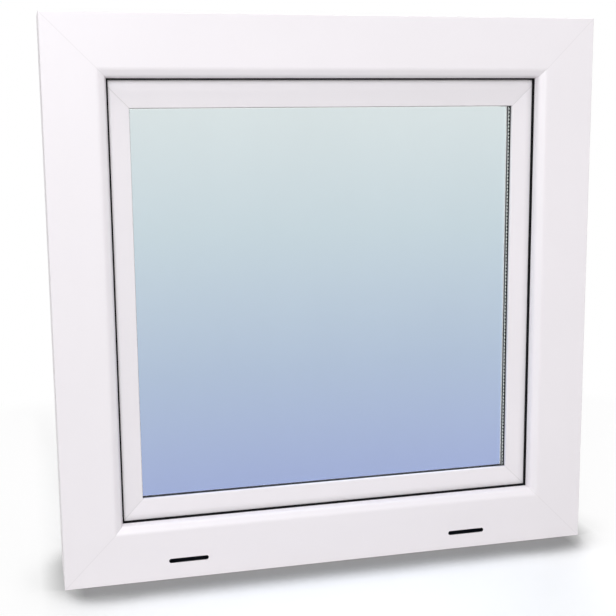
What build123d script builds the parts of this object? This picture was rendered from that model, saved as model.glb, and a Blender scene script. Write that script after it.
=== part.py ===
from build123d import *
import os

os.makedirs("parts", exist_ok=True)

# A small inward-opening basement window: a fixed plastic frame, a sash that
# closes behind its lip, and a double-glazed unit held in by clip-in beads.
# Every bar is one extruded section, cut to a mitre and welded to its
# neighbours. X runs to the right seen from outside, Y from the outside to
# the inside, Z up. The origin is the middle of the frame's underside.
# A section is drawn with two sizes: how far in from the window's perimeter,
# and how far behind the outside face. All sizes are in millimetres.

# Overall size
window_width = 600.0
window_height = 600.0
frame_depth = 70.0

# Wall thicknesses of the hollow profiles
front_wall = 3.0
wall = 2.5
web = 1.5

# Frame profile
frame_face = 64.3
bevel_width = 8.8
bevel_shoulder_inset = 1.5
bevel_shoulder_depth = 4.2
lip_edge_depth = 10.6
lip_thickness = 12.0
rebate_floor = 40.0
gutter_drop = 4.0
gutter_offset = 2.5
gutter_width = 7.5
gutter_slope = 6.0
drain_chamber_back = 26.0
inner_chamber_depth = 14.0
striker_inset = 12.0
striker_width = 12.0
striker_depth = 2.0
face_edge_radius = 0.8
bevel_radius = 7.0
shoulder_radius = 6.0

# Undercut grooves in the frame's perimeter, for wall anchors
anchor_inset = 18.5
anchor_mouth = 7.0
anchor_width = 10.0
anchor_lip = 1.8
anchor_depth = 5.5

# Grooves that hold the seals, and the seals
seal_show = 1.7
seal_groove_inset = 3.8
seal_groove_mouth = 2.5
seal_groove_width = 4.0
seal_groove_lip = 1.0
seal_groove_depth = 4.0
seal_fit = 0.2
seal_radius = 1.2
seal_heel = 3.0

# Drainage slots; the outer two were milled a little unevenly
drain_slot_length = 43.5
drain_slot_height = 5.0
left_slot_centre = -166.5
left_slot_rise = 20.8
right_slot_centre = 156.5
right_slot_rise = 19.3
gutter_slot_length = 27.0
gutter_slot_width = 4.0
gutter_slot_offset = 110.0

# Sash profile; the sash is a little short, which shows as a wider top rail
air_gap = 12.0
head_clearance = 6.8
outer_seal_gap = 3.8
sash_face_width = 23.2
sash_face_flat = 5.7
sash_face_slope = 2.4
sash_face_radius = 40.0
glazing_leg_tip = 3.4
sash_front_chamber = 8.0
nose_radius = 1.2
overlap = 13.5
overlap_gap = 3.5
overlap_thickness = 12.5
overlap_radius = 3.0
hardware_axis = 13.0
hardware_plate_width = 16.0
hardware_plate_depth = 2.5
hardware_groove_width = 12.0
hardware_groove_depth = 9.0
bead_groove_inset = 11.0
bead_groove_width = 3.0
bead_groove_depth = 3.5

# Double-glazed unit
pane_thickness = 4.0
cavity_width = 8.0
glass_cover = 14.8
glass_clearance = 5.0
sealant_depth = 4.5
spacer_height = 7.0
spacer_wall = 0.6
spacer_chamfer = 2.0

# Glazing gaskets and beads
outer_gasket_thickness = 3.5
outer_gasket_width = 9.5
outer_gasket_lip = 0.3
gasket_foot_inset = 6.0
gasket_foot_width = 2.4
gasket_foot_depth = 2.2
inner_gasket_thickness = 3.0
inner_gasket_width = 5.0
inner_gasket_foot_inset = 2.6
bead_setback = 4.0
bead_fit = 0.1
bead_wall = 2.0
bead_shoulder_depth = 9.0
bead_top_width = 6.0
bead_toe = 8.0
bead_heel_depth = 7.0
bead_radius = 4.0

# Lever handle on the inside of the right stile
handle_base_width = 29.0
handle_base_height = 66.0
handle_base_thickness = 10.0
handle_base_radius = 9.0
handle_base_edge = 2.0
handle_neck_diameter = 19.0
handle_neck_length = 12.0
handle_projection = 42.0
handle_length = 122.0
handle_grip_width = 21.0
handle_grip_thickness = 12.0
handle_grip_radius = 4.0
handle_bend_radius = 15.0
handle_fit = 0.3

# Hinges on the inside of the left stile
hinge_barrel_diameter = 13.0
hinge_gap = 0.5
hinge_leaf_thickness = 3.5
hinge_leaf_reach = 20.0
hinge_bearing_height = 40.0
hinge_knuckle_height = 34.0
hinge_corner_distance = 42.0
hinge_plate_reach = 16.0
hinge_plate_thickness = 3.0

# Lines of the section that several pieces share
gutter_floor = rebate_floor - gutter_drop
gutter_front = lip_thickness + gutter_offset
gutter_back = gutter_front + gutter_width
frame_groove_centre = frame_face - seal_groove_inset
seal_end = frame_face + seal_show
sash_height = window_height - head_clearance
sash_perimeter = rebate_floor + air_gap
seal_face = lip_thickness + outer_seal_gap
sash_shoulder = frame_face + sash_face_flat
sightline = frame_face + sash_face_width
sash_tip = seal_face + sash_face_slope
leg_back = sash_tip + glazing_leg_tip
overlap_end = rebate_floor - overlap
overlap_front = frame_depth + overlap_gap
sash_inside = overlap_front + overlap_thickness
sash_groove_centre = overlap_end + seal_groove_inset
glass_edge = sightline - glass_cover
glazing_base = glass_edge - glass_clearance
glass_front = leg_back + outer_gasket_thickness
cavity_front = glass_front + pane_thickness
cavity_back = cavity_front + cavity_width
glass_back = cavity_back + pane_thickness
bead_front = glass_back + inner_gasket_thickness
bead_sightline = sightline - bead_setback
spacer_base = glass_edge + sealant_depth
bead_groove_back = sash_inside - bead_groove_inset
bead_groove_front = bead_groove_back - bead_groove_width

# A bar is drawn a little past its corners and then cut back to the mitre
cut_margin = 5.0
mitre_reach = 0.45 * min(window_width, window_height)


def outline(points):
    """A filled outline from (inward, depth) or (inward, depth, radius) corners."""
    corners = [(point[0], point[1]) for point in points]
    radii = [point[2] if len(point) > 2 else 0.0 for point in points]
    if any(radii):
        return make_face(FilletPolyline(*corners, radius=radii, close=True).edges())
    return make_face(Polyline(*corners, close=True).edges())


def undercut(centre, face, into, mouth, width, lip, depth):
    """Corners of an undercut groove, on a face of constant depth."""
    return [
        (centre + mouth / 2, face),
        (centre + mouth / 2, face + into * lip),
        (centre + width / 2, face + into * lip),
        (centre + width / 2, face + into * depth),
        (centre - width / 2, face + into * depth),
        (centre - width / 2, face + into * lip),
        (centre - mouth / 2, face + into * lip),
        (centre - mouth / 2, face),
    ]


def seal_groove(centre, face, into):
    """Corners of the undercut groove that holds a seal's foot."""
    return undercut(centre, face, into, seal_groove_mouth, seal_groove_width,
                    seal_groove_lip, seal_groove_depth)


def anchor_groove(centre):
    """Corners of one groove in the frame's perimeter, from inside to outside."""
    across = undercut(centre, 0.0, 1, anchor_mouth, anchor_width, anchor_lip, anchor_depth)
    return [(inward, depth) for depth, inward in across]


def frame_section():
    """Hollow frame profile: lip, gutter, rebate, anchor grooves and chambers."""
    outer_anchor = anchor_inset
    inner_anchor = frame_depth - anchor_inset
    striker_back = frame_depth - striker_inset
    striker_front = striker_back - striker_width
    striker_floor = rebate_floor - striker_depth
    body = outline(
        [
            (0.0, 0.0, face_edge_radius),
            (frame_face - bevel_width, 0.0, bevel_radius),
            (frame_face - bevel_shoulder_inset, bevel_shoulder_depth, shoulder_radius),
            (frame_face, lip_edge_depth),
            (frame_face, lip_thickness, face_edge_radius),
        ]
        + seal_groove(frame_groove_centre, lip_thickness, -1)
        + [
            (frame_groove_centre - seal_groove_width, lip_thickness, wall),
            (gutter_floor, gutter_front, wall),
            (gutter_floor, gutter_back, wall),
            (rebate_floor, gutter_back + gutter_slope, wall),
            (rebate_floor, striker_front),
            (striker_floor, striker_front),
            (striker_floor, striker_back),
            (rebate_floor, striker_back),
            (rebate_floor, frame_depth, face_edge_radius),
            (0.0, frame_depth, face_edge_radius),
        ]
        + anchor_groove(inner_anchor)
        + anchor_groove(outer_anchor)
    )
    anchor_ceiling = anchor_depth + web
    anchor_reach = anchor_width / 2 + web
    lip_chamber_end = frame_groove_centre - seal_groove_width / 2 - wall
    steel_front = drain_chamber_back + web
    steel_back = frame_depth - inner_chamber_depth - web
    drain_chamber = [
        (front_wall, front_wall),
        (gutter_floor - wall, front_wall),
        (gutter_floor - wall, drain_chamber_back),
        (anchor_ceiling, drain_chamber_back),
        (anchor_ceiling, outer_anchor - anchor_reach),
        (front_wall, outer_anchor - anchor_reach),
    ]
    lip_chamber = [
        (gutter_floor - wall + web, front_wall),
        (lip_chamber_end, front_wall),
        (lip_chamber_end, lip_thickness - wall),
        (gutter_floor - wall + web, gutter_front - wall),
    ]
    land_chamber = [
        (wall, outer_anchor + anchor_reach),
        (anchor_depth, outer_anchor + anchor_reach),
        (anchor_depth, inner_anchor - anchor_reach),
        (wall, inner_anchor - anchor_reach),
    ]
    steel_chamber = [
        (anchor_ceiling, steel_front),
        (gutter_floor - wall, steel_front),
        (striker_floor - wall, gutter_back + gutter_slope),
        (striker_floor - wall, steel_back),
        (anchor_ceiling, steel_back),
    ]
    inner_chamber = [
        (anchor_ceiling, steel_back + web),
        (striker_floor - wall, steel_back + web),
        (striker_floor - wall, striker_back + wall),
        (rebate_floor - wall, striker_back + wall),
        (rebate_floor - wall, frame_depth - wall),
        (wall, frame_depth - wall),
        (wall, inner_anchor + anchor_reach),
        (anchor_ceiling, inner_anchor + anchor_reach),
    ]
    for chamber in (drain_chamber, lip_chamber, land_chamber, steel_chamber, inner_chamber):
        body -= outline(chamber)
    return body


def sash_section():
    """Hollow sash profile: sloped nose, glazing leg, grooves and inside overlap."""
    groove_centre = overlap_front - hardware_axis
    plate_floor = sash_perimeter + hardware_plate_depth
    groove_floor = sash_perimeter + hardware_groove_depth
    foot_centre = sightline - gasket_foot_inset
    body = outline(
        [
            (sash_perimeter, seal_face, face_edge_radius),
            (sash_shoulder, seal_face, sash_face_radius),
            (sightline, sash_tip, nose_radius),
            (sightline, leg_back),
            (foot_centre + gasket_foot_width / 2, leg_back),
            (foot_centre + gasket_foot_width / 2, leg_back - gasket_foot_depth),
            (foot_centre - gasket_foot_width / 2, leg_back - gasket_foot_depth),
            (foot_centre - gasket_foot_width / 2, leg_back),
            (glazing_base, leg_back),
            (glazing_base, bead_groove_front),
            (glazing_base - bead_groove_depth, bead_groove_front),
            (glazing_base - bead_groove_depth, bead_groove_back),
            (glazing_base, bead_groove_back),
            (glazing_base, sash_inside, face_edge_radius),
            (overlap_end, sash_inside, overlap_radius),
            (overlap_end, overlap_front, face_edge_radius),
        ]
        + seal_groove(sash_groove_centre, overlap_front, 1)[::-1]
        + [
            (sash_perimeter, overlap_front),
            (sash_perimeter, groove_centre + hardware_plate_width / 2),
            (plate_floor, groove_centre + hardware_plate_width / 2),
            (plate_floor, groove_centre + hardware_groove_width / 2),
            (groove_floor, groove_centre + hardware_groove_width / 2),
            (groove_floor, groove_centre - hardware_groove_width / 2),
            (plate_floor, groove_centre - hardware_groove_width / 2),
            (plate_floor, groove_centre - hardware_plate_width / 2),
            (sash_perimeter, groove_centre - hardware_plate_width / 2),
        ]
    )
    front_end = seal_face + wall + sash_front_chamber
    front_chamber = [
        (sash_perimeter + wall, seal_face + wall),
        (glazing_base - wall, seal_face + wall),
        (glazing_base - wall, front_end),
        (sash_perimeter + wall, front_end),
    ]
    steel_end = groove_centre - hardware_plate_width / 2 - wall
    steel_chamber = [
        (sash_perimeter + wall, front_end + web),
        (glazing_base - wall, front_end + web),
        (glazing_base - wall, steel_end),
        (sash_perimeter + wall, steel_end),
    ]
    inner_start = sash_groove_centre + seal_groove_width / 2 + wall
    inner_end = glazing_base - bead_groove_depth - wall
    inner_chamber = [
        (inner_start, overlap_front + wall),
        (inner_end, overlap_front + wall),
        (inner_end, sash_inside - wall),
        (inner_start, sash_inside - wall),
    ]
    for chamber in (front_chamber, steel_chamber, inner_chamber):
        body -= outline(chamber)
    return body


def seal_section(centre, face, into, head_end, gap):
    """Rubber seal: a barbed foot in its groove and a soft head over the gap."""
    foot = seal_groove_width / 2 - seal_fit
    neck = seal_groove_mouth / 2 - seal_fit
    barb = face + into * (seal_groove_lip + seal_fit)
    tip = face + into * (seal_groove_depth - seal_fit)
    head = face - into * (gap - seal_fit)
    heel_end = centre - seal_heel
    return outline(
        [
            (centre - foot, tip),
            (centre + foot, tip),
            (centre + foot, barb),
            (centre + neck, barb),
            (centre + neck, face),
            (head_end, face),
            (head_end, head, seal_radius),
            (heel_end, head, seal_radius),
            (heel_end, face),
            (centre - neck, face),
            (centre - neck, barb),
            (centre - foot, barb),
        ]
    )


def spacer_section():
    """Hollow aluminium spacer bar, chamfered towards the sealant."""
    sight = spacer_base + spacer_height
    body = outline(
        [
            (sight, cavity_front),
            (sight, cavity_back),
            (spacer_base + spacer_chamfer, cavity_back),
            (spacer_base, cavity_back - spacer_chamfer),
            (spacer_base, cavity_front + spacer_chamfer),
            (spacer_base + spacer_chamfer, cavity_front),
        ]
    )
    hollow = outline(
        [
            (sight - spacer_wall, cavity_front + spacer_wall),
            (sight - spacer_wall, cavity_back - spacer_wall),
            (spacer_base + spacer_chamfer, cavity_back - spacer_wall),
            (spacer_base + spacer_wall, cavity_back - spacer_chamfer),
            (spacer_base + spacer_wall, cavity_front + spacer_chamfer),
            (spacer_base + spacer_chamfer, cavity_front + spacer_wall),
        ]
    )
    return body - hollow


def sealant_section():
    """Sealant between the panes, round the back of the spacer bar."""
    return outline(
        [
            (glass_edge, cavity_front),
            (glass_edge, cavity_back),
            (spacer_base + spacer_chamfer, cavity_back),
            (spacer_base, cavity_back - spacer_chamfer),
            (spacer_base, cavity_front + spacer_chamfer),
            (spacer_base + spacer_chamfer, cavity_front),
        ]
    )


def outer_gasket_section():
    """Gasket between the sash's glazing leg and the outer pane."""
    foot_centre = sightline - gasket_foot_inset
    foot = gasket_foot_width / 2 - bead_fit
    foot_tip = leg_back - gasket_foot_depth + bead_fit
    return outline(
        [
            (sightline - outer_gasket_width, leg_back),
            (foot_centre - foot, leg_back),
            (foot_centre - foot, foot_tip),
            (foot_centre + foot, foot_tip),
            (foot_centre + foot, leg_back),
            (sightline, leg_back),
            (sightline + outer_gasket_lip, glass_front),
            (sightline - outer_gasket_width, glass_front),
        ]
    )


def inner_gasket_section():
    """Gasket between the inner pane and the bead."""
    foot_centre = bead_sightline - inner_gasket_foot_inset
    foot = gasket_foot_width / 2 - bead_fit
    foot_tip = bead_front + gasket_foot_depth - bead_fit
    return outline(
        [
            (bead_sightline - inner_gasket_width, glass_back),
            (bead_sightline, glass_back),
            (bead_sightline, bead_front),
            (foot_centre + foot, bead_front),
            (foot_centre + foot, foot_tip),
            (foot_centre - foot, foot_tip),
            (foot_centre - foot, bead_front),
            (bead_sightline - inner_gasket_width, bead_front),
        ]
    )


def bead_section():
    """Hollow clip-in glazing bead with its foot in the sash's groove."""
    seat = glazing_base + bead_fit
    foot_centre = bead_sightline - inner_gasket_foot_inset
    foot_tip = glazing_base - bead_groove_depth + bead_fit
    toe = seat + bead_toe
    body = outline(
        [
            (toe, bead_front),
            (foot_centre - gasket_foot_width / 2, bead_front),
            (foot_centre - gasket_foot_width / 2, bead_front + gasket_foot_depth),
            (foot_centre + gasket_foot_width / 2, bead_front + gasket_foot_depth),
            (foot_centre + gasket_foot_width / 2, bead_front),
            (bead_sightline, bead_front),
            (bead_sightline, bead_front + bead_shoulder_depth, bead_radius),
            (seat + bead_top_width, sash_inside, bead_radius),
            (seat, sash_inside),
            (seat, bead_groove_back - bead_fit),
            (foot_tip, bead_groove_back - bead_fit),
            (foot_tip, bead_groove_front + bead_fit),
            (seat, bead_groove_front + bead_fit),
            (seat, bead_front + bead_heel_depth),
        ]
    )
    hollow_front = bead_front + gasket_foot_depth + bead_wall
    hollow = outline(
        [
            (toe + bead_wall, hollow_front),
            (bead_sightline - bead_wall, hollow_front),
            (bead_sightline - bead_wall, bead_front + bead_shoulder_depth),
            (seat + bead_top_width, sash_inside - bead_wall - bead_wall / 2),
            (seat + bead_wall, sash_inside - bead_wall),
            (seat + bead_wall, bead_front + bead_heel_depth + bead_wall),
        ]
    )
    return body - hollow


def side_planes(height):
    """Section plane and length of each side of a ring that stands on the underside."""
    front = -frame_depth / 2
    half_width = window_width / 2
    return {
        "head": (Plane((0, front, height), (0, 0, -1), (1, 0, 0)), window_width),
        "sill": (Plane((0, front, 0), (0, 0, 1), (-1, 0, 0)), window_width),
        "left": (Plane((-half_width, front, height / 2), (1, 0, 0), (0, 0, 1)), height),
        "right": (Plane((half_width, front, height / 2), (-1, 0, 0), (0, 0, -1)), height),
    }


def mitred_bar(section, plane, length):
    """Extrude a section along one side and cut both ends to the mitre."""
    half = length / 2
    bar = extrude(plane * section, half + cut_margin, both=True)
    cutting_plane = Plane(plane.origin, x_dir=plane.z_dir, z_dir=plane.y_dir)
    wedge_outline = Polyline(
        (-half - cut_margin, -cut_margin),
        (half + cut_margin, -cut_margin),
        (half - mitre_reach, mitre_reach),
        (mitre_reach - half, mitre_reach),
        close=True,
    )
    wedge = extrude(cutting_plane * make_face(wedge_outline.edges()), 2 * sash_inside, both=True)
    return bar & wedge


def cut_drainage(sill):
    """Cut the two outer slots and the two gutter slots of the bottom bar."""
    front = -frame_depth / 2
    outer_slot = SlotOverall(drain_slot_length, drain_slot_height)
    inner_slot = SlotOverall(gutter_slot_length, gutter_slot_width)
    gutter_middle = front + gutter_front + gutter_width / 2
    for centre, rise in ((left_slot_centre, left_slot_rise), (right_slot_centre, right_slot_rise)):
        face_plane = Plane((centre, front, rise), x_dir=(1, 0, 0), z_dir=(0, 1, 0))
        sill -= extrude(face_plane * outer_slot, 2 * front_wall, both=True)
    for centre in (-gutter_slot_offset, gutter_slot_offset):
        floor_plane = Plane((centre, gutter_middle, gutter_floor - wall / 2),
                            x_dir=(1, 0, 0), z_dir=(0, 0, 1))
        sill -= extrude(floor_plane * inner_slot, 2 * wall, both=True)
    return sill


def pane(front):
    """One sheet of glass of the double-glazed unit."""
    y_start = front - frame_depth / 2
    sheet = Box(
        window_width - 2 * glass_edge,
        pane_thickness,
        sash_height - 2 * glass_edge,
    )
    return Pos(0, y_start + pane_thickness / 2, sash_height / 2) * sheet


def stile_centre():
    """Distance from the perimeter to the middle of the sash's inside face."""
    return (overlap_end + glazing_base) / 2


def handle_base():
    """Rounded plate under the handle, with its edge eased."""
    face = sash_inside - frame_depth / 2
    plate = extrude(RectangleRounded(handle_base_width, handle_base_height, handle_base_radius),
                    handle_base_thickness)
    plate = chamfer(plate.faces().sort_by(Axis.Z)[-1].edges(), handle_base_edge)
    seat = Plane((window_width / 2 - stile_centre(), face, sash_height / 2),
                 x_dir=(1, 0, 0), z_dir=(0, 1, 0))
    return seat * plate


def handle_lever():
    """Round neck that turns into a flat grip, pointing down when shut."""
    face = sash_inside - frame_depth / 2 + handle_base_thickness
    centre_x = window_width / 2 - stile_centre()
    centre_z = sash_height / 2
    neck_start = face + handle_fit
    route = FilletPolyline(
        (centre_x, neck_start + handle_neck_length / 2, centre_z),
        (centre_x, neck_start + handle_projection, centre_z),
        (centre_x, neck_start + handle_projection, centre_z - handle_length),
        radius=handle_bend_radius,
    )
    grip_plane = Plane((centre_x, neck_start + handle_neck_length / 2, centre_z),
                       x_dir=(1, 0, 0), z_dir=(0, 1, 0))
    grip = sweep(grip_plane * RectangleRounded(handle_grip_width, handle_grip_thickness,
                                               handle_grip_radius), route)
    grip = fillet(grip.faces().sort_by(Axis.Z)[0].edges(), handle_grip_radius / 2)
    neck_plane = Plane((centre_x, neck_start, centre_z), x_dir=(1, 0, 0), z_dir=(0, 1, 0))
    neck = extrude(neck_plane * Circle(handle_neck_diameter / 2), handle_neck_length)
    return grip + neck


def hinge_axis():
    """Place of the hinge barrels in the section: beside the sash's overlap."""
    radius = hinge_barrel_diameter / 2
    return overlap_end - hinge_gap - radius, frame_depth + hinge_leaf_thickness / 2 + radius


def hinge_bearing_section():
    """Barrel and the leaf that is screwed to the frame."""
    inward, depth = hinge_axis()
    radius = hinge_barrel_diameter / 2
    leaf = outline(
        [
            (inward + radius - hinge_leaf_reach, frame_depth),
            (inward + radius, frame_depth),
            (inward + radius, depth),
            (inward - radius, depth),
            (inward - radius, frame_depth + hinge_leaf_thickness),
            (inward + radius - hinge_leaf_reach, frame_depth + hinge_leaf_thickness),
        ]
    )
    return leaf + Pos(inward, depth) * Circle(radius)


def hinge_knuckle_section():
    """Barrel and the plate that is screwed to the sash."""
    inward, depth = hinge_axis()
    radius = hinge_barrel_diameter / 2
    plate_front = sash_inside + hinge_plate_thickness
    arm = outline(
        [
            (inward - radius, depth),
            (inward + radius, depth),
            (inward + radius, sash_inside),
            (overlap_end + hinge_plate_reach, sash_inside),
            (overlap_end + hinge_plate_reach, plate_front),
            (inward - radius, plate_front, hinge_plate_thickness),
        ]
    )
    return arm + Pos(inward, depth) * Circle(radius)


def hinge_piece(section, bottom, height):
    """Extrude a hinge section upwards from its lower end, on the left side."""
    plane = Plane((-window_width / 2, -frame_depth / 2, bottom), x_dir=(1, 0, 0), z_dir=(0, 0, 1))
    return extrude(plane * section, height)


def hinges():
    """The two hinges, each with a bearing on the frame and a knuckle on the sash."""
    lower_bearing = hinge_corner_distance
    lower_knuckle = lower_bearing + hinge_bearing_height + hinge_gap
    upper_bearing = window_height - hinge_corner_distance - hinge_bearing_height
    upper_knuckle = upper_bearing - hinge_gap - hinge_knuckle_height
    bearing = hinge_bearing_section()
    knuckle = hinge_knuckle_section()
    return {
        "hinge_lower_bearing": hinge_piece(bearing, lower_bearing, hinge_bearing_height),
        "hinge_lower_knuckle": hinge_piece(knuckle, lower_knuckle, hinge_knuckle_height),
        "hinge_upper_bearing": hinge_piece(bearing, upper_bearing, hinge_bearing_height),
        "hinge_upper_knuckle": hinge_piece(knuckle, upper_knuckle, hinge_knuckle_height),
    }


def rings():
    """Section and height of each ring of four bars."""
    frame_seal = seal_section(frame_groove_centre, lip_thickness, -1, seal_end, outer_seal_gap)
    sash_seal = seal_section(sash_groove_centre, overlap_front, 1,
                             sash_groove_centre + seal_heel, overlap_gap)
    return {
        "frame": (frame_section(), window_height),
        "sash": (sash_section(), sash_height),
        "frame_seal": (frame_seal, window_height),
        "sash_seal": (sash_seal, sash_height),
        "spacer_bar": (spacer_section(), sash_height),
        "edge_sealant": (sealant_section(), sash_height),
        "outer_gasket": (outer_gasket_section(), sash_height),
        "inner_gasket": (inner_gasket_section(), sash_height),
        "glazing_bead": (bead_section(), sash_height),
    }


bar_names = {
    ("frame", "head"): "frame_head",
    ("frame", "sill"): "frame_sill",
    ("frame", "left"): "frame_jamb_left",
    ("frame", "right"): "frame_jamb_right",
    ("sash", "head"): "sash_top_rail",
    ("sash", "sill"): "sash_bottom_rail",
    ("sash", "left"): "sash_stile_left",
    ("sash", "right"): "sash_stile_right",
}
side_words = {"head": "top", "sill": "bottom", "left": "left", "right": "right"}

pieces = {}
for ring, (section, height) in rings().items():
    for side, (plane, length) in side_planes(height).items():
        name = bar_names.get((ring, side), f"{ring}_{side_words[side]}")
        pieces[name] = mitred_bar(section, plane, length)
pieces["frame_sill"] = cut_drainage(pieces["frame_sill"])
pieces["glass_outer_pane"] = pane(glass_front)
pieces["glass_inner_pane"] = pane(cavity_back)
pieces["handle_base"] = handle_base()
pieces["handle_lever"] = handle_lever()
pieces.update(hinges())

for name, piece in pieces.items():
    export_step(piece, f"parts/{name}.step")
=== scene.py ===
import math

import bmesh
import bpy
from mathutils import Matrix, Vector


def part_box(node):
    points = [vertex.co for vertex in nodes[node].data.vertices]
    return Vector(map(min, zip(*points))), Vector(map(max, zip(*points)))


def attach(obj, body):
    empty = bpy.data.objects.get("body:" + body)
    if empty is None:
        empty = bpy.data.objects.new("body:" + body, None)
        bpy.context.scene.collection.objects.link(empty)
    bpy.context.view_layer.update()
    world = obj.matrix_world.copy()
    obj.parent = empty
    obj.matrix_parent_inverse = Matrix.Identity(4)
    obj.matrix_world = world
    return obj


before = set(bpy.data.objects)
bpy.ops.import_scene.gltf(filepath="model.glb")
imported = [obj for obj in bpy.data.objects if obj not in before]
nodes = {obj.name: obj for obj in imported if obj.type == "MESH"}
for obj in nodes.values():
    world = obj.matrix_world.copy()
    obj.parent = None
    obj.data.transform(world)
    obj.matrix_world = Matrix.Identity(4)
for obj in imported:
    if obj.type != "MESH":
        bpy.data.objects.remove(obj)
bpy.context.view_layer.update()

MM = 0.001

# Camera, solved from the window's straight edges: its place, turn and lens
CAMERA_PLACE = Vector((-0.3252, -1.1988, 0.4915))
CAMERA_ROTATION_DEGREES = Vector((9.33, -14.25, -1.73))
FOCAL_LENGTH_PIXELS = 1126.0
IMAGE_PIXELS = 616
SENSOR_WIDTH_MM = 36.0

# Soft even light. Camera, mirror and refracted rays see the world as plain white instead
WHITE = (1.0, 1.0, 1.0)
AMBIENT_COLOUR = (1.0, 0.98, 0.97)
AMBIENT_STRENGTH = 0.31

# Square soft lamps: place, the point that they face, side in metres, watts and colour
LAMPS = {
    "key_lamp": {
        "place": (-1.0, -3.1, 1.7), "target": (0.0, 0.0, 0.3),
        "size": 1.8, "watts": 79.5, "colour": (0.95, 0.985, 1.0),
    },
    "top_lamp": {
        "place": (0.0, -0.5, 2.4), "target": (0.0, 0.0, 0.2),
        "size": 1.4, "watts": 16.0, "colour": (1.0, 0.985, 0.98),
    },
    "back_lamp": {
        "place": (1.4, 2.8, 1.7), "target": (0.0, 0.0, 0.3),
        "size": 1.8, "watts": 46.0, "colour": (1.0, 0.99, 1.0),
    },
}

# Floor: its size, and the gap under the window that keeps the two planes apart
FLOOR_HALF_SIZE = 20.0
FLOOR_GAP = 0.1 * MM

# Contact shadow: how far it reaches, and its tone by how open the spot is
CONTACT_REACH = 80.0 * MM
CONTACT_SAMPLES = 16
CONTACT_STEPS = ((0.5, 0.30), (0.74, 0.30), (0.84, 0.66), (0.9, 0.97), (0.95, 1.0), (0.985, 1.0))

# How far from the middle the floor turns white all round, and where painted light at the left and
# right lifts its shadow nearly to white
FLOOR_FADE_START = 0.45
FLOOR_FADE_END = 0.9
SIDE_START = 280.0 * MM
SIDE_END = 325.0 * MM
SIDE_PAINTED_LIGHT = 0.85

# Colour of the light that the floor sends back up to the window, in linear light
FLOOR_BOUNCE = (0.61, 0.60, 0.59)

# Noise: the span in which it mostly lies, and no stretch along any axis
NOISE_LOW = 0.3
NOISE_HIGH = 0.7
EVEN = (1.0, 1.0, 1.0)

# White plastic, in linear light: main and second tone, welded corners, and the dark inside of the
# sill: partly its core, partly painted shade
PVC_WHITE = (0.86, 0.814, 0.846)
PVC_SHADE = (0.82, 0.779, 0.806)
PVC_SHADE_SHARE = 0.5
PVC_SEAM = (0.66, 0.62, 0.64)
PVC_CORE_SHADE = (0.018, 0.021, 0.03)
# Scale on the sash's white: painted shade for its place recessed behind the frame's lip
SASH_PAINTED_SHADE = 0.965
PVC_ROUGHNESS = (0.30, 0.38)
PVC_DETAIL = 2.0
PVC_TONE_SCALE = 5.0

# Draw lines along the bars, and a fine peel all over
DRAW_ALONG_X = (0.02, 1.0, 1.0)
DRAW_ALONG_Z = (1.0, 1.0, 0.02)
DRAW_SCALE = 60.0
DRAW_DEPTH = 0.03 * MM
DRAW_STRENGTH = 0.25
PEEL_SCALE = 420.0
PEEL_DEPTH = 0.02 * MM
PEEL_STRENGTH = 0.3

# Weld seams: half their width, the share of it at full tone, their depth, and how much they show
SEAM_HALF_WIDTH = 0.9 * MM
SEAM_FULL_SHARE = 0.4
SEAM_DEPTH = -0.12 * MM
FRAME_SEAM_TONE = 0.25
SASH_SEAM_TONE = 0.7

# Sill: the white skin of its faces, and the heights between which its chambers lie
SKIN = 0.6 * MM
CHAMBER_BOTTOM = 2.5 * MM
CHAMBER_TOP = 34.0 * MM

# Plain finishes: two tones in linear light, roughness, and the scale and depth of the grain
PLAIN_FINISHES = {
    "seal_rubber": {
        "base": (0.004, 0.004, 0.005), "shade": (0.008, 0.008, 0.009), "roughness": 0.75,
        "grain_scale": 900.0, "grain_depth": 0.05 * MM, "gloss": 0.08,
    },
    "gasket_rubber": {
        "base": (0.012, 0.012, 0.014), "shade": (0.02, 0.02, 0.022), "roughness": 0.75,
        "grain_scale": 900.0, "grain_depth": 0.05 * MM, "gloss": 0.15,
    },
    "spacer_metal": {
        "base": (0.90, 0.91, 0.92), "shade": (0.85, 0.86, 0.87), "roughness": 0.35,
        "grain_scale": 700.0, "grain_depth": 0.02 * MM, "metallic": 1.0,
    },
    "edge_sealant": {
        "base": (0.02, 0.02, 0.021), "shade": (0.03, 0.03, 0.03), "roughness": 0.7,
        "grain_scale": 300.0, "grain_depth": 0.1 * MM,
    },
    "white_enamel": {
        "base": (0.86, 0.86, 0.87), "shade": (0.83, 0.83, 0.84), "roughness": 0.28,
        "grain_scale": 350.0, "grain_depth": 0.002 * MM,
    },
    "screw_zinc": {
        "base": (0.6, 0.6, 0.61), "shade": (0.5, 0.5, 0.51), "roughness": 0.35,
        "grain_scale": 600.0, "grain_depth": 0.02 * MM, "metallic": 1.0,
    },
}
PLAIN_TONE_SCALE = 30.0
PLAIN_DETAIL = 3.0
PLAIN_GLOSS = 0.5
ROUGHNESS_SPREAD = 0.05
GRAIN_STRENGTH = 0.5

# Clear glass: main tone and streaks, in linear light
GLASS_IOR = 1.5
GLASS_CLEAR = (0.97, 0.985, 0.98)
GLASS_STREAK = (0.95, 0.975, 0.965)
STREAK_STRETCH = (1.0, 1.0, 0.15)
STREAK_SCALE = 14.0
STREAK_DETAIL = 2.0

# Glass with a painted reflection: colour of the painted reflection from the bottom of the pane to its
# top, in linear light
PAINTED_REFLECTION_STEPS = (
    (0.0, (0.383, 0.458, 0.728)),
    (0.33, (0.477, 0.575, 0.73)),
    (0.67, (0.62, 0.725, 0.78)),
    (1.0, (0.765, 0.835, 0.84)),
)
# How strongly the mirror layer shows the painted reflection, and how much that strength varies
PAINTED_REFLECTION_STRENGTH = 0.9
PAINTED_REFLECTION_HAZE = 0.02
HAZE_STRETCH = (1.0, 1.0, 0.3)
HAZE_SCALE = 9.0
HAZE_DETAIL = 3.0
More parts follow.
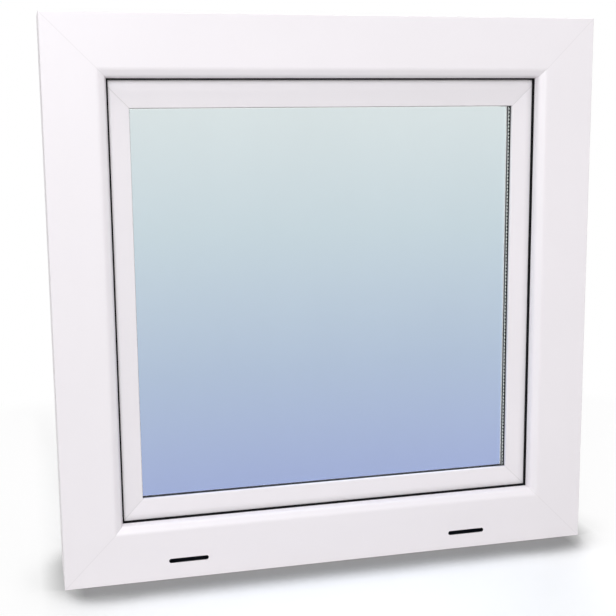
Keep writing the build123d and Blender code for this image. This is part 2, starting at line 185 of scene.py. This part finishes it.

# Rim on each side of the pane left clear of the painted reflection, and how softly the painted
# reflection ends
RIM_LEFT = 15.4 * MM
RIM_RIGHT = 18.6 * MM
RIM_BOTTOM = 15.8 * MM
RIM_TOP = 15.4 * MM
PAINTED_REFLECTION_BLEND = 0.4 * MM

# Holes of the spacer bars: thin dark eight-sided discs of painted shade in two rows, with a plain end
# on each bar
PERFORATION_PITCH = 4.0 * MM
PERFORATION_LENGTH = 2.2 * MM
PERFORATION_WIDTH = 2.2 * MM
PERFORATION_DEPTH = 0.2 * MM
PERFORATION_ROWS = (-2.0 * MM, 2.0 * MM)
PERFORATION_SIDES = 8
PLAIN_END_PITCHES = 2.5

# Countersunk screws: head, cross recess, and how far the head stands proud of the surface
SCREW_RADIUS = 2.5 * MM
SCREW_TOP_RADIUS = 0.8 * SCREW_RADIUS
SCREW_HEIGHT = 0.9 * MM
SCREW_EDGE_DROP = 0.3 * SCREW_HEIGHT
SCREW_RECESS = 1.3 * MM
SCREW_CELLS = 7
SCREW_PROUD = 0.35 * MM

# Hinges: thickness of the leaf on the frame, and the screws' places from its ends and edges
HINGE_LEAF = 3.5 * MM
SCREW_END = 8.0 * MM
LEAF_SCREW_INSET = 3.5 * MM
PLATE_SCREW_INSET = 6.5 * MM


def new_material(name):
    """A material with an empty node tree, its output node and the object coordinates."""
    material = bpy.data.materials.new(name)
    material.use_nodes = True
    tree = material.node_tree
    tree.nodes.clear()
    output = tree.nodes.new("ShaderNodeOutputMaterial")
    coordinates = tree.nodes.new("ShaderNodeTexCoord").outputs["Object"]
    return material, tree, output, coordinates


def add(tree, kind, **inputs):
    """A new node, with its named input sockets set to plain values."""
    node = tree.nodes.new(kind)
    for name, value in inputs.items():
        node.inputs[name.replace("_", " ")].default_value = value
    return node


def math_node(tree, operation, first, second=0.0):
    """A Math node fed by sockets or numbers."""
    node = tree.nodes.new("ShaderNodeMath")
    node.operation = operation
    for index, value in enumerate((first, second)):
        if isinstance(value, (int, float)):
            node.inputs[index].default_value = value
        else:
            tree.links.new(value, node.inputs[index])
    return node.outputs[0]


def mix_colour(tree, factor, first, second):
    """A colour mix; each colour is a tuple or a socket."""
    node = tree.nodes.new("ShaderNodeMix")
    node.data_type = "RGBA"
    tree.links.new(factor, node.inputs["Factor"])
    for name, value in (("A", first), ("B", second)):
        socket = [s for s in node.inputs if s.name == name and s.type == "RGBA"][0]
        if isinstance(value, tuple):
            socket.default_value = (*value, 1.0)
        else:
            tree.links.new(value, socket)
    return [s for s in node.outputs if s.type == "RGBA"][0]


def mix_shader(tree, factor, first, second):
    """A mix of two shaders: the first at 0, the second at 1."""
    node = tree.nodes.new("ShaderNodeMixShader")
    tree.links.new(factor, node.inputs["Fac"])
    tree.links.new(first, node.inputs[1])
    tree.links.new(second, node.inputs[2])
    return node.outputs["Shader"]


def map_range(tree, value, low, high, out_low, out_high):
    """A clamped linear mapping of a value."""
    node = tree.nodes.new("ShaderNodeMapRange")
    tree.links.new(value, node.inputs["Value"])
    node.inputs["From Min"].default_value = low
    node.inputs["From Max"].default_value = high
    node.inputs["To Min"].default_value = out_low
    node.inputs["To Max"].default_value = out_high
    return node.outputs["Result"]


def colour_ramp(tree, value, steps):
    """A colour that follows a value through two or more steps of position and colour."""
    node = tree.nodes.new("ShaderNodeValToRGB")
    first, last = node.color_ramp.elements
    for element, (position, colour) in ((first, steps[0]), (last, steps[-1])):
        element.position = position
        element.color = (*colour, 1.0)
    for position, colour in steps[1:-1]:
        node.color_ramp.elements.new(position).color = (*colour, 1.0)
    tree.links.new(value, node.inputs["Fac"])
    return node.outputs["Color"]


def stretched_noise(tree, coordinates, stretch, scale, detail):
    """Noise on object coordinates, stretched per axis."""
    mapping = tree.nodes.new("ShaderNodeMapping")
    mapping.inputs["Scale"].default_value = stretch
    tree.links.new(coordinates, mapping.inputs["Vector"])
    noise = add(tree, "ShaderNodeTexNoise", Scale=scale, Detail=detail)
    tree.links.new(mapping.outputs["Vector"], noise.inputs["Vector"])
    return noise.outputs["Fac"]


def spread_noise(tree, noise, out_low, out_high):
    """The usual span of a noise, mapped to a range."""
    return map_range(tree, noise, NOISE_LOW, NOISE_HIGH, out_low, out_high)


def add_bump(tree, height, distance, strength, before=None):
    """A bump on top of an earlier one."""
    bump = add(tree, "ShaderNodeBump", Strength=strength, Distance=distance)
    tree.links.new(height, bump.inputs["Height"])
    if before is not None:
        tree.links.new(before, bump.inputs["Normal"])
    return bump.outputs["Normal"]


def axes_of(tree, coordinates):
    """The sockets X, Y and Z of the coordinates."""
    split = tree.nodes.new("ShaderNodeSeparateXYZ")
    tree.links.new(coordinates, split.inputs["Vector"])
    return split.outputs


def off_middle(tree, value, low, high):
    """How far a value lies from the middle between two bounds."""
    return math_node(tree, "ABSOLUTE", math_node(tree, "SUBTRACT", value, (low + high) / 2))


def inside_range(tree, value, low, high):
    """1 where a value lies between two bounds."""
    above = math_node(tree, "GREATER_THAN", value, low)
    below = math_node(tree, "LESS_THAN", value, high)
    return math_node(tree, "MULTIPLY", above, below)


def ring_box(left, right, bottom, top):
    """Outer box of a ring of four mitred bars, in X and Z."""
    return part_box(left)[0].x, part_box(right)[1].x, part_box(bottom)[0].z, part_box(top)[1].z


def weld_seam(tree, coordinates, ring):
    """1 on the diagonals where the ring's mitred bars are welded, 0 beside them."""
    left, right, bottom, top = ring
    axes = axes_of(tree, coordinates)
    across = off_middle(tree, axes["X"], left, right)
    along = off_middle(tree, axes["Z"], bottom, top)
    on_seam = ((right - left) - (top - bottom)) / 2
    offset = math_node(tree, "SUBTRACT", math_node(tree, "SUBTRACT", across, along), on_seam)
    distance = math_node(tree, "ABSOLUTE", offset)
    return map_range(tree, distance, SEAM_FULL_SHARE * SEAM_HALF_WIDTH, SEAM_HALF_WIDTH, 1.0, 0.0)


def hollow_core(tree, coordinates, bar):
    """1 inside the hollow chambers of a bar, behind the white skin of its faces."""
    low, high = bar
    axes = axes_of(tree, coordinates)
    depth = inside_range(tree, axes["Y"], low.y + SKIN, high.y - SKIN)
    height = inside_range(tree, axes["Z"], low.z + CHAMBER_BOTTOM, low.z + CHAMBER_TOP)
    return math_node(tree, "MULTIPLY", depth, height)


def white_pvc(name, draw_stretch, ring, seam_tone, painted_shade_scale=1.0, shaded_core_of=None):
    """Satin white extruded plastic: faint draw lines along the bar and a cleaned weld seam."""
    material, tree, output, coordinates = new_material(name)
    tone = stretched_noise(tree, coordinates, EVEN, PVC_TONE_SCALE, PVC_DETAIL)
    draw_lines = stretched_noise(tree, coordinates, draw_stretch, DRAW_SCALE, PVC_DETAIL)
    peel = stretched_noise(tree, coordinates, EVEN, PEEL_SCALE, PVC_DETAIL)
    seam = weld_seam(tree, coordinates, ring)
    # Base tones, scaled down by the painted shade where a piece has it
    base, shade = [tuple(painted_shade_scale * part for part in colour) for colour in (PVC_WHITE, PVC_SHADE)]
    colour = mix_colour(tree, spread_noise(tree, tone, 0.0, PVC_SHADE_SHARE), base, shade)
    colour = mix_colour(tree, map_range(tree, seam, 0.0, 1.0, 0.0, seam_tone), colour, PVC_SEAM)
    if shaded_core_of is not None:
        # Inside the sill's chambers: partly a darker recycled core, partly painted shade
        colour = mix_colour(tree, hollow_core(tree, coordinates, shaded_core_of), colour, PVC_CORE_SHADE)
    normal = add_bump(tree, draw_lines, DRAW_DEPTH, DRAW_STRENGTH)
    normal = add_bump(tree, peel, PEEL_DEPTH, PEEL_STRENGTH, normal)
    normal = add_bump(tree, seam, SEAM_DEPTH, seam_tone, normal)
    shader = add(tree, "ShaderNodeBsdfPrincipled")
    tree.links.new(colour, shader.inputs["Base Color"])
    tree.links.new(spread_noise(tree, draw_lines, *PVC_ROUGHNESS), shader.inputs["Roughness"])
    tree.links.new(normal, shader.inputs["Normal"])
    tree.links.new(shader.outputs["BSDF"], output.inputs["Surface"])
    return material


def plain_finish(
    name, base, shade, roughness, grain_scale, grain_depth, metallic=0.0, gloss=PLAIN_GLOSS
):
    """A finish with a fine grain, a slight change of tone and an uneven gloss."""
    material, tree, output, coordinates = new_material(name)
    tone = stretched_noise(tree, coordinates, EVEN, PLAIN_TONE_SCALE, PLAIN_DETAIL)
    grain = stretched_noise(tree, coordinates, EVEN, grain_scale, PLAIN_DETAIL)
    colour = mix_colour(tree, spread_noise(tree, tone, 0.0, 1.0), base, shade)
    uneven = spread_noise(tree, grain, roughness - ROUGHNESS_SPREAD, roughness + ROUGHNESS_SPREAD)
    shader = add(tree, "ShaderNodeBsdfPrincipled", Metallic=metallic, Specular_IOR_Level=gloss)
    tree.links.new(colour, shader.inputs["Base Color"])
    tree.links.new(uneven, shader.inputs["Roughness"])
    tree.links.new(add_bump(tree, grain, grain_depth, GRAIN_STRENGTH), shader.inputs["Normal"])
    tree.links.new(shader.outputs["BSDF"], output.inputs["Surface"])
    return material


def glass_shader(tree, colour, output):
    """Smooth glass of a colour, which lets shadow rays pass, so that the lamps shine through it."""
    shader = add(
        tree, "ShaderNodeBsdfPrincipled", Roughness=0.0, IOR=GLASS_IOR, Transmission_Weight=1.0
    )
    tree.links.new(colour, shader.inputs["Base Color"])
    clear = add(tree, "ShaderNodeBsdfTransparent", Color=(*GLASS_CLEAR, 1.0))
    shadow_ray = tree.nodes.new("ShaderNodeLightPath").outputs["Is Shadow Ray"]
    surface = mix_shader(tree, shadow_ray, shader.outputs["BSDF"], clear.outputs["BSDF"])
    tree.links.new(surface, output.inputs["Surface"])
    return shader


def clear_glass(name):
    """Clear float glass, a little green, with faint streaks of tone."""
    material, tree, output, coordinates = new_material(name)
    streaks = stretched_noise(tree, coordinates, STREAK_STRETCH, STREAK_SCALE, STREAK_DETAIL)
    colour = mix_colour(tree, spread_noise(tree, streaks, 0.0, 1.0), GLASS_CLEAR, GLASS_STREAK)
    glass_shader(tree, colour, output)
    return material


def glass_with_painted_reflection(name, pane):
    """Glass whose mirror layer carries a painted reflection, pale teal at the top and bluer towards
    the bottom; its rim is left clear.
    """
    low, high = pane
    material, tree, output, coordinates = new_material(name)
    axes = axes_of(tree, coordinates)
    spare = []
    for axis, near, far in (
        ("X", low.x + RIM_LEFT, high.x - RIM_RIGHT),
        ("Z", low.z + RIM_BOTTOM, high.z - RIM_TOP),
    ):
        spare.append(
            math_node(tree, "SUBTRACT", (far - near) / 2, off_middle(tree, axes[axis], near, far))
        )
    inset = math_node(tree, "MINIMUM", *spare)
    # 1 where the painted reflection lies, 0 on the clear rim
    painted_reflection = map_range(tree, inset, 0.0, PAINTED_REFLECTION_BLEND, 0.0, 1.0)
    # Painted reflection by height: pale teal at the top, bluer towards the bottom
    rise = map_range(tree, axes["Z"], low.z, high.z, 0.0, 1.0)
    colour = mix_colour(tree, painted_reflection, GLASS_CLEAR, colour_ramp(tree, rise, PAINTED_REFLECTION_STEPS))
    haze = stretched_noise(tree, coordinates, HAZE_STRETCH, HAZE_SCALE, HAZE_DETAIL)
    strength = spread_noise(
        tree, haze, PAINTED_REFLECTION_STRENGTH - PAINTED_REFLECTION_HAZE, PAINTED_REFLECTION_STRENGTH + PAINTED_REFLECTION_HAZE
    )
    shader = glass_shader(tree, colour, output)
    tree.links.new(math_node(tree, "MULTIPLY", painted_reflection, strength), shader.inputs["Metallic"])
    return material


def ray_kinds(tree):
    """1 for camera rays, and 1 for mirror and refracted rays."""
    light_path = tree.nodes.new("ShaderNodeLightPath")
    mirrored = light_path.outputs["Is Glossy Ray"]
    refracted = light_path.outputs["Is Transmission Ray"]
    return light_path.outputs["Is Camera Ray"], math_node(tree, "MAXIMUM", mirrored, refracted)


def floor_finish():
    """White floor with a dark contact shadow and painted light beside the window; mirror and refracted
    rays see it as plain white.
    """
    material, tree, output, coordinates = new_material("floor_white")
    occlusion = tree.nodes.new("ShaderNodeAmbientOcclusion")
    occlusion.samples = CONTACT_SAMPLES
    occlusion.inputs["Distance"].default_value = CONTACT_REACH
    steps = [(openness, (tone, tone, tone)) for openness, tone in CONTACT_STEPS]
    contact = colour_ramp(tree, occlusion.outputs["AO"], steps)
    length = tree.nodes.new("ShaderNodeVectorMath")
    length.operation = "LENGTH"
    tree.links.new(coordinates, length.inputs[0])
    far = map_range(tree, length.outputs["Value"], FLOOR_FADE_START, FLOOR_FADE_END, 0.0, 1.0)
    across = math_node(tree, "ABSOLUTE", axes_of(tree, coordinates)["X"])
    # Painted light beside the window: the floor there turns nearly plain white over its shadow
    beside = map_range(tree, across, SIDE_START, SIDE_END, 0.0, SIDE_PAINTED_LIGHT)
    plain = math_node(tree, "MAXIMUM", far, beside)
    camera_ray, backdrop_ray = ray_kinds(tree)
    seen_plain = math_node(tree, "MULTIPLY", plain, camera_ray)
    diffuse = tree.nodes.new("ShaderNodeBsdfDiffuse")
    tree.links.new(mix_colour(tree, camera_ray, FLOOR_BOUNCE, contact), diffuse.inputs["Color"])
    white = add(tree, "ShaderNodeEmission", Strength=1.0)
    plain_white = math_node(tree, "MAXIMUM", seen_plain, backdrop_ray)
    surface = mix_shader(tree, plain_white, diffuse.outputs["BSDF"], white.outputs["Emission"])
    tree.links.new(surface, output.inputs["Surface"])
    return material


def set_world():
    """Soft ambient light; camera, mirror and refracted rays see plain white."""
    world = bpy.data.worlds.new("studio")
    bpy.context.scene.world = world
    world.use_nodes = True
    tree = world.node_tree
    tree.nodes.clear()
    output = tree.nodes.new("ShaderNodeOutputWorld")
    light = add(
        tree, "ShaderNodeBackground", Color=(*AMBIENT_COLOUR, 1.0), Strength=AMBIENT_STRENGTH
    )
    white = add(tree, "ShaderNodeBackground", Color=(*WHITE, 1.0), Strength=1.0)
    seen = math_node(tree, "MAXIMUM", *ray_kinds(tree))
    surface = mix_shader(tree, seen, light.outputs["Background"], white.outputs["Background"])
    tree.links.new(surface, output.inputs["Surface"])


def finished_piece(name, shape, material):
    """A mesh object from a finished bmesh, with its material, riding on the window."""
    bmesh.ops.recalc_face_normals(shape, faces=shape.faces)
    # The same order of faces in every run, which extrusion doesn't give
    by_place = sorted(shape.faces, key=lambda face: face.calc_center_median()[:])
    for index, face in enumerate(by_place):
        face.index = index
    shape.faces.sort()
    mesh = bpy.data.meshes.new(name)
    shape.to_mesh(mesh)
    shape.free()
    piece = bpy.data.objects.new(name, mesh)
    bpy.context.scene.collection.objects.link(piece)
    mesh.materials.append(material)
    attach(piece, "root")


def add_hole_shade(material):
    """Dark discs of painted shade for the two rows of small holes in the visible face of each spacer
    bar.
    """
    shape = bmesh.new()
    across = Vector((0, 1, 0))
    size = Matrix.Diagonal((PERFORATION_LENGTH, PERFORATION_WIDTH, PERFORATION_DEPTH, 1.0))
    for side, along, inward in (
        ("left", Vector((0, 0, 1)), Vector((1, 0, 0))),
        ("right", Vector((0, 0, 1)), Vector((-1, 0, 0))),
        ("top", Vector((1, 0, 0)), Vector((0, 0, -1))),
        ("bottom", Vector((1, 0, 0)), Vector((0, 0, 1))),
    ):
        low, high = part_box(f"spacer_bar_{side}")
        turn = Matrix((along, across, inward)).transposed().to_4x4()
        face = (low + high) / 2 + inward * abs((high - low).dot(inward)) / 2
        reach = (high - low).dot(along) / 2 - PERFORATION_PITCH * PLAIN_END_PITCHES
        count = int(2 * reach / PERFORATION_PITCH)
        for row in PERFORATION_ROWS:
            for index in range(count + 1):
                place = face + across * row + along * ((index - count / 2) * PERFORATION_PITCH)
                # A disc of width 1 and height 1, which the matrix brings to size
                bmesh.ops.create_cone(
                    shape, cap_ends=True, segments=PERFORATION_SIDES, radius1=0.5, radius2=0.5,
                    depth=1.0, matrix=Matrix.Translation(place) @ turn @ size,
                )
    finished_piece("spacer_hole_shade", shape, material)


def add_screw(shape, place):
    """One countersunk cross-head screw on an inside face, its head towards +Y."""
    pitch = 2 * SCREW_RECESS / SCREW_CELLS
    head = bmesh.new()
    bmesh.ops.create_grid(
        head, x_segments=SCREW_CELLS, y_segments=SCREW_CELLS, size=SCREW_RECESS
    )
    rim = [edge for edge in head.edges if edge.is_boundary]
    arms = []
    for face in head.faces:
        column, row = [round(value / pitch) for value in face.calc_center_median().xy]
        if 0 in (column, row) and max(abs(column), abs(row)) < SCREW_CELLS // 2:
            arms.append(face)
    cross = bmesh.ops.extrude_face_region(head, geom=arms)["geom"]
    sunk = [item for item in cross if isinstance(item, bmesh.types.BMVert)]
    bmesh.ops.translate(head, verts=sunk, vec=(0, 0, -SCREW_HEIGHT))
    bmesh.ops.delete(head, geom=[face for face in arms if face.is_valid], context="FACES_ONLY")
    # Each circle has as many edges as the grid's rim, and is joined to the one before it
    for radius, level in (
        (SCREW_TOP_RADIUS, 0.0),
        (SCREW_RADIUS, -SCREW_EDGE_DROP),
        (SCREW_RADIUS, -SCREW_HEIGHT),
    ):
        ring = bmesh.ops.create_circle(
            head, segments=4 * SCREW_CELLS, radius=radius, matrix=Matrix.Translation((0, 0, level))
        )["verts"]
        edges = list(dict.fromkeys(edge for vert in ring for edge in vert.link_edges))
        bmesh.ops.bridge_loops(head, edges=rim + edges)
        rim = edges
    bmesh.ops.contextual_create(head, geom=rim)
    facing_inside = Matrix.Translation(place) @ Matrix.Rotation(math.radians(-90), 4, "X")
    bmesh.ops.transform(head, matrix=facing_inside, verts=head.verts)
    mesh = bpy.data.meshes.new("screw")
    head.to_mesh(mesh)
    head.free()
    shape.from_mesh(mesh)
    bpy.data.meshes.remove(mesh)


def add_hinge_screws(material):
    """Two screws in each hinge leaf on the frame and two in each plate on the sash."""
    shape = bmesh.new()
    leaf_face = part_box("frame_jamb_left")[1].y + HINGE_LEAF
    for level in ("lower", "upper"):
        low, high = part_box(f"hinge_{level}_bearing")
        for z in (low.z + SCREW_END, high.z - SCREW_END):
            add_screw(shape, Vector((low.x + LEAF_SCREW_INSET, leaf_face + SCREW_PROUD, z)))
        low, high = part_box(f"hinge_{level}_knuckle")
        for z in (low.z + SCREW_END, high.z - SCREW_END):
            add_screw(shape, Vector((high.x - PLATE_SCREW_INSET, high.y + SCREW_PROUD, z)))
    finished_piece("hinge_screws", shape, material)


def add_floor():
    """Large plain floor under the window."""
    mesh = bpy.data.meshes.new("floor")
    shape = bmesh.new()
    below = Matrix.Translation((0, 0, -FLOOR_GAP))
    bmesh.ops.create_grid(shape, x_segments=1, y_segments=1, size=FLOOR_HALF_SIZE, matrix=below)
    shape.to_mesh(mesh)
    shape.free()
    floor = bpy.data.objects.new("floor", mesh)
    bpy.context.scene.collection.objects.link(floor)
    mesh.materials.append(floor_finish())


def add_lamp(name, place, target, size, watts, colour):
    """A square soft lamp that looks at a point."""
    light = bpy.data.lights.new(name, "AREA")
    light.shape = "SQUARE"
    light.size = size
    light.energy = watts
    light.color = colour
    lamp = bpy.data.objects.new(name, light)
    lamp.location = place
    direction = Vector(target) - Vector(place)
    lamp.rotation_mode = "QUATERNION"
    lamp.rotation_quaternion = direction.to_track_quat("-Z", "Y")
    bpy.context.scene.collection.objects.link(lamp)


def add_camera():
    """Camera at the photograph's viewing angle."""
    data = bpy.data.cameras.new("camera")
    data.sensor_width = SENSOR_WIDTH_MM
    data.lens = FOCAL_LENGTH_PIXELS / IMAGE_PIXELS * SENSOR_WIDTH_MM
    camera = bpy.data.objects.new("camera", data)
    bpy.context.scene.collection.objects.link(camera)
    turn = CAMERA_ROTATION_DEGREES * math.radians(1)
    rotation = Matrix.Rotation(turn.length, 3, turn.normalized())
    right, down, forward = [Vector((row.x, row.z, -row.y)) for row in rotation]
    columns = Matrix((right, -down, -forward)).transposed()
    camera.matrix_world = Matrix.Translation(CAMERA_PLACE) @ columns.to_4x4()
    bpy.context.scene.camera = camera


def dress(name, material):
    """Give a CAD node its material."""
    slots = nodes[name].data.materials
    if len(slots) == 0:
        slots.append(material)
    for index in range(len(slots)):
        slots[index] = material


def dress_window():
    """Give every piece its finish, and add the small repeated pieces."""
    frame_ring = ring_box("frame_jamb_left", "frame_jamb_right", "frame_sill", "frame_head")
    sash_ring = ring_box("sash_stile_left", "sash_stile_right", "sash_bottom_rail", "sash_top_rail")
    jamb = white_pvc("pvc_jamb", DRAW_ALONG_Z, frame_ring, FRAME_SEAM_TONE)
    head = white_pvc("pvc_head", DRAW_ALONG_X, frame_ring, FRAME_SEAM_TONE)
    # Sash bars, and the beads that share their finish, get painted shade: a little darker than the
    # frame
    stile = white_pvc("pvc_stile", DRAW_ALONG_Z, sash_ring, SASH_SEAM_TONE, SASH_PAINTED_SHADE)
    rail = white_pvc("pvc_rail", DRAW_ALONG_X, sash_ring, SASH_SEAM_TONE, SASH_PAINTED_SHADE)
    sill_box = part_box("frame_sill")
    sill = white_pvc("pvc_sill", DRAW_ALONG_X, frame_ring, FRAME_SEAM_TONE, shaded_core_of=sill_box)
    plain = {name: plain_finish(name, **values) for name, values in PLAIN_FINISHES.items()}
    # The outer pane carries the painted reflection
    painted_reflection = glass_with_painted_reflection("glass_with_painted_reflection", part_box("glass_outer_pane"))
    clear = clear_glass("float_glass")
    # The first row that a name starts with counts: the finish of upright bars, then of level ones
    finishes = (
        ("frame_seal", plain["seal_rubber"], plain["seal_rubber"]),
        ("sash_seal", plain["seal_rubber"], plain["seal_rubber"]),
        ("outer_gasket", plain["gasket_rubber"], plain["gasket_rubber"]),
        ("inner_gasket", plain["gasket_rubber"], plain["gasket_rubber"]),
        ("frame_sill", sill, sill),
        ("frame_", jamb, head),
        ("sash_", stile, rail),
        ("glazing_bead", stile, rail),
        ("spacer_bar", plain["spacer_metal"], plain["spacer_metal"]),
        ("edge_sealant", plain["edge_sealant"], plain["edge_sealant"]),
        ("glass_outer_pane", painted_reflection, painted_reflection),
        ("glass_inner_pane", clear, clear),
        ("", plain["white_enamel"], plain["white_enamel"]),
    )
    for name in nodes:
        is_level = name.endswith(("_top", "_bottom", "_head", "_rail"))
        upright, level = next(row[1:] for row in finishes if name.startswith(row[0]))
        dress(name, level if is_level else upright)
    # Painted shade in the spacer's holes: dark discs in the sealant's finish
    add_hole_shade(plain["edge_sealant"])
    add_hinge_screws(plain["screw_zinc"])


scene = bpy.context.scene
scene.view_settings.view_transform = "Standard"
dress_window()
add_floor()
set_world()
for lamp_name, lamp_values in LAMPS.items():
    add_lamp(lamp_name, **lamp_values)
add_camera()
